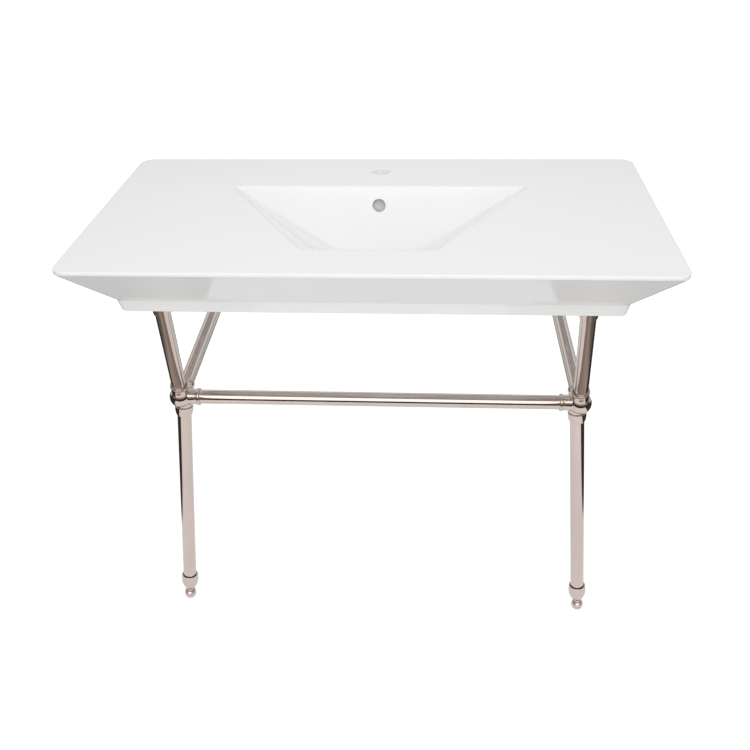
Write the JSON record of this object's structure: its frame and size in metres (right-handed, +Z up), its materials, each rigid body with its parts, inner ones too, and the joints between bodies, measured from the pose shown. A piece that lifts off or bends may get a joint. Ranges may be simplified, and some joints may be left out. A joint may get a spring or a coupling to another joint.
{
  "type": "console sink with legs",
  "caption": "Wall-hung rectangular ceramic console sink with an angular bowl, carried by two splayed metal legs, a stretcher bar and rails to the wall, on levelling feet.",
  "frame": {"origin": "on the floor, under the middle of the basin's plan", "axes": "+X along the basin to its right end seen from the front, +Y to the wall, +Z up"},
  "size_m": [1, 0.56, 0.9],
  "materials": {
    "glazed_ceramic": "gloss white glaze",
    "polished_nickel": "polished nickel plate",
    "black_rubber": "matt",
    "plain_brass": "machined",
    "stainless_steel": "machined"
  },
  "bodies": {
    "root": {"basin": "glazed_ceramic", "stretcher_bar": "polished_nickel", "right_joint_casting": "polished_nickel", "left_joint_casting": "polished_nickel", "right_front_strut": "polished_nickel", "left_front_strut": "polished_nickel", "right_strut_flange": "polished_nickel", "left_strut_flange": "polished_nickel", "right_strut_pad": "black_rubber", "left_strut_pad": "black_rubber", "right_wall_rail": "polished_nickel", "left_wall_rail": "polished_nickel", "right_wall_flange": "polished_nickel", "left_wall_flange": "polished_nickel", "right_lower_leg": "polished_nickel", "left_lower_leg": "polished_nickel", "right_leg_insert": "plain_brass", "left_leg_insert": "plain_brass", "right_foot_cup": "polished_nickel", "left_foot_cup": "polished_nickel", "strut_flange_screws": "stainless_steel", "socket_set_screws": "stainless_steel"},
    "right_foot": {"right_foot_ball": "polished_nickel"},
    "left_foot": {"left_foot_ball": "polished_nickel"}
  },
  "joints": [
    {"name": "right_foot_screw", "type": "slide", "parent": "root", "child": "right_foot", "axis": [0.0828, -0.052, -0.9952], "range_m": [0, 0.012]},
    {"name": "left_foot_screw", "type": "slide", "parent": "root", "child": "left_foot", "axis": [-0.0828, -0.052, -0.9952], "range_m": [0, 0.012]}
  ]
}
